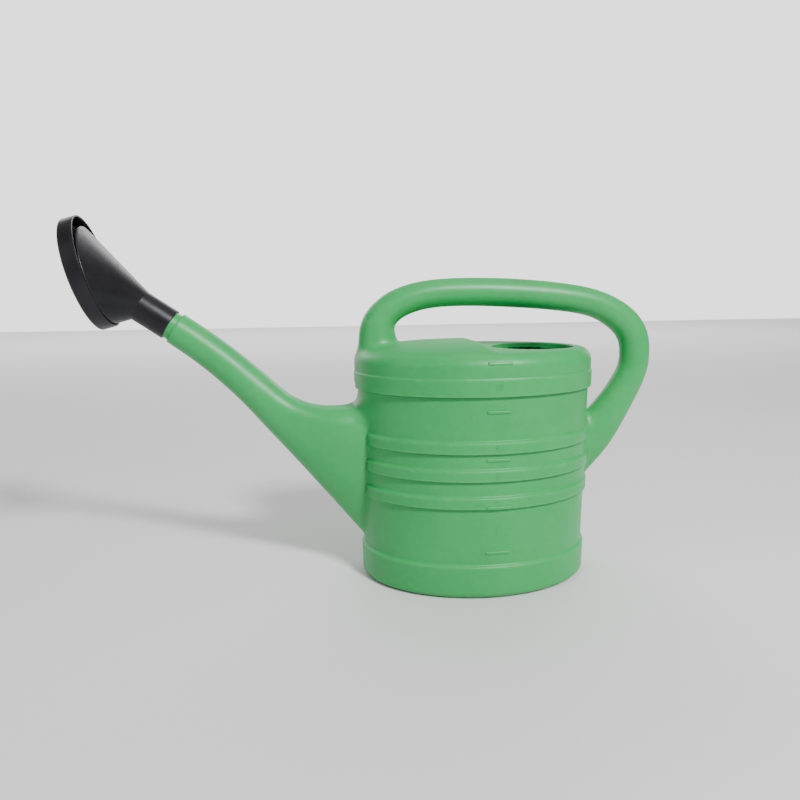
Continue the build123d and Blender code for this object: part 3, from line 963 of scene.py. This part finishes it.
def green_plastic():
    """Satin green polythene: cloudy, finely grained, scuffed pale where it is handled, with a painted
    highlight along its outer edges and painted shade in its overhung nooks.
    """
    look = Look("green_polythene")
    cloud = look.noise(70, 2, 0.5)
    mottle = look.noise(7, 4, 0.6)
    speck = look.noise(0.9, 2, 0.6)
    # the edge attribute drives real wear, a painted highlight on outer edges and painted shade in
    # nooks
    edge = look.add("ShaderNodeAttribute", {"attribute_name": "edge"}, {}, "Fac")
    worn = (edge * look.noise(14, 4, 0.65).between(0.42, 0.7)).between(0.15, 0.9)
    # painted shade mask: the overhung nooks under the ribs and bands, where shadow falls
    nook_shade = (0 - edge).between(0.15, 1.0)
    scratch = look.noise(2.4, 3, 0.7, (1, 1, 0.09), 0.4).between(0.66, 0.78)
    scratch = scratch * look.noise(45, 2).between(0.5, 0.68)
    across = look.add("ShaderNodeSeparateXYZ", {}, {0: look.place()}, 1)
    seam = 1 - abs(across).between(0.15, 0.75)
    colour = look.mix(cloud.between(0.3, 0.7), GREEN_DEEP, GREEN_LIGHT)
    colour = look.mix(mottle.between(0.35, 0.75) * 0.2, colour, GREEN_PALE_AND_HIGHLIGHT)
    colour = look.mix(speck.between(0.62, 0.75) * 0.12, colour, GREEN_PALE_AND_HIGHLIGHT)
    # painted highlight: a continuous pale line along every outer edge, standing in for light caught
    # on the rounded rib and band edges
    colour = look.mix(edge.between(0.1, 1.0) * 0.22, colour, GREEN_PALE_AND_HIGHLIGHT)
    colour = look.mix(worn * 0.16, colour, GREEN_WORN)
    colour = look.mix(scratch * 0.3, colour, GREEN_WORN)
    # painted shade: the overhung nooks are darkened where shadow falls under the ribs and bands
    colour = look.mix(nook_shade * 0.85, colour, GREEN_NOOK_SHADE)
    facing = look.add("ShaderNodeTexCoord", {}, {}, "Normal")
    upward = look.add("ShaderNodeSeparateXYZ", {}, {0: facing}, 2).between(0.7, 0.98)
    roughness = 0.35 + upward * 0.35 + mottle * 0.1 + worn * 0.12 + scratch * 0.15 + nook_shade * 0.08
    normal = look.height(look.noise(28, 2, 0.4), 0.5)
    normal = look.height(seam, 0.16, normal)
    normal = look.height(speck + scratch * 0.8, 0.035, normal)
    return look.finish(colour, roughness, normal, IOR=1.48, Specular_Tint=(0.8, 0.8, 0.8, 1))


def black_plastic():
    """Near black satin plastic with fine grain, soft dust and grey scuffs."""
    look = Look("black_rose_plastic")
    cloud = look.noise(30, 3, 0.55)
    grain = look.noise(0.7, 3, 0.6)
    rub = look.noise(9, 5, 0.7).between(0.55, 0.78)
    scratch = look.noise(2.0, 3, 0.7, (0.12, 1, 1), 0.5).between(0.66, 0.78)
    colour = look.mix(cloud.between(0.3, 0.7), BLACK_DEEP, BLACK_SOFT)
    colour = look.mix(rub * 0.22, colour, BLACK_DUSTY)
    colour = look.mix(scratch * 0.2, colour, BLACK_DUSTY)
    roughness = 0.34 + cloud * 0.1 + rub * 0.14 + scratch * 0.12
    normal = look.height(look.noise(16, 2, 0.4), 0.25)
    normal = look.height(grain + scratch * 0.8, 0.03, normal)
    return look.finish(colour, roughness, normal, IOR=1.5, Specular_Tint=(0.62, 0.61, 0.68, 1))


# ------------------------------------------------------------------ build the can
can_body = make_can()
spigot_tube = make_spigot()
level_dashes = make_level_marks()
litre_figures = make_numerals()
rose_funnel = make_rose_housing()
rose_sprinkler = make_rose_face()

green = green_plastic()
black = black_plastic()
for piece in (can_body, spigot_tube, level_dashes, litre_figures):
    piece.data.materials.append(green)
    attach(piece, "can")
for piece, body in ((rose_funnel, "rose"), (rose_sprinkler, "rose_cap")):
    piece.data.materials.append(black)
    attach(piece, body)
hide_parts("tank_wall", "tank_floor", "shoulder", "spout_root", "spout_neck",
            "spout_end", "handle")
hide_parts("spigot")
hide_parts("rose_housing")
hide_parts("rose_face")


# ------------------------------------------------------------------ floor, light and camera
# From here on places are in metres, and the camera's turns are in degrees.
FLOOR_HEIGHT = -0.0004         # a hair under the can
FLOOR_REACH = 6.0
BACKDROP_Y, BACKDROP_REACH, BACKDROP_HEIGHT = 5.9, 7, 6
BACKDROP_GLOW = 2.1
WORLD_GLOW = 0.34
CAMERA_PLACE = (-0.17595, -0.77226, 0.31792)
CAMERA_YAW, CAMERA_PITCH, CAMERA_ROLL = 6.84, 8.81, 0.685
CAMERA_LENS, CAMERA_SENSOR = 31.5, 36


def add_sheet(name, corners, material):
    """A flat studio sheet through four corners."""
    mesh = bpy.data.meshes.new(name)
    mesh.from_pydata(corners, [], [(0, 1, 2, 3)])
    mesh.materials.append(material)
    sheet = bpy.data.objects.new(name, mesh)
    bpy.context.scene.collection.objects.link(sheet)


def add_floor():
    """A wide pale floor, a hair under the can."""
    look = Look("pale_floor")
    pale = look.mix(look.noise(400, 2), (0.66, 0.66, 0.66, 1), (0.7, 0.7, 0.695, 1))
    grain = look.height(look.noise(6, 2), 0.05)
    near, far = -FLOOR_REACH, FLOOR_REACH
    corners = [(near, near), (far, near), (far, far), (near, far)]
    corners = [(x, y, FLOOR_HEIGHT) for x, y in corners]
    add_sheet("studio_floor", corners, look.finish(pale, 0.75, grain))


def add_backdrop():
    """A wide glowing paper wall behind the can."""
    look = Look("white_paper")
    glow = look.mix(look.noise(900, 2), (0.97, 0.97, 0.97, 1), (1.0, 1.0, 1.0, 1))
    shader = look.add("ShaderNodeEmission", {}, {"Color": glow, "Strength": BACKDROP_GLOW})
    look.add("ShaderNodeOutputMaterial", {}, {"Surface": shader})
    left, right = -BACKDROP_REACH, BACKDROP_REACH
    low, high = FLOOR_HEIGHT, BACKDROP_HEIGHT
    corners = [(left, low), (right, low), (right, high), (left, high)]
    add_sheet("studio_backdrop", [(x, BACKDROP_Y, z) for x, z in corners], look.material)


def add_light(name, place, aim, size, power):
    """A soft square light that looks at a point."""
    lamp = bpy.data.lights.new(name, "AREA")
    lamp.shape = "RECTANGLE"
    lamp.size, lamp.size_y = size
    lamp.energy = power
    light = bpy.data.objects.new(name, lamp)
    bpy.context.scene.collection.objects.link(light)
    light.location = place
    light.rotation_euler = (Vector(aim) - Vector(place)).to_track_quat("-Z", "Y").to_euler()


def add_camera():
    """The main view: near the can's middle, a little above the tank, looking slightly down."""
    yaw, pitch, roll = (
        math.radians(turn) for turn in (CAMERA_YAW, CAMERA_PITCH, CAMERA_ROLL)
    )
    ahead = Vector((
        math.sin(yaw) * math.cos(pitch), math.cos(yaw) * math.cos(pitch), -math.sin(pitch)
    ))
    right = Vector((math.cos(yaw), -math.sin(yaw), 0))
    down = ahead.cross(right)
    turned_right = math.cos(roll) * right + math.sin(roll) * down
    turned_down = math.cos(roll) * down - math.sin(roll) * right
    lens = bpy.data.cameras.new("main_view")
    lens.lens = CAMERA_LENS
    lens.sensor_width = CAMERA_SENSOR
    camera = bpy.data.objects.new("main_view", lens)
    bpy.context.scene.collection.objects.link(camera)
    axes = Matrix((turned_right, -turned_down, -ahead)).transposed().to_4x4()
    camera.matrix_world = Matrix.Translation(CAMERA_PLACE) @ axes
    bpy.context.scene.camera = camera


def add_world():
    """An even white glow from all round."""
    world = bpy.data.worlds.new("studio")
    world.use_nodes = True
    glow = world.node_tree.nodes["Background"]
    glow.inputs["Color"].default_value = (1.0, 1.0, 1.0, 1)
    glow.inputs["Strength"].default_value = WORLD_GLOW
    bpy.context.scene.world = world


add_floor()
add_backdrop()
add_light("key_light", (0.8, -1.75, 1.85), (0, 0, 0.15), (0.4, 0.4), 92)
add_light("left_fill", (-1.6, -1.2, 1.0), (-0.1, 0, 0.2), (1.2, 1.2), 5)
add_light("top_light", (0.0, 0.3, 2.2), (0, 0, 0.2), (1.6, 1.6), 6)
add_light("floor_light", (0.0, 3.9, 2.2), (0.0, 3.9, 0.0), (7.0, 2.0), 130)
add_world()
add_camera()
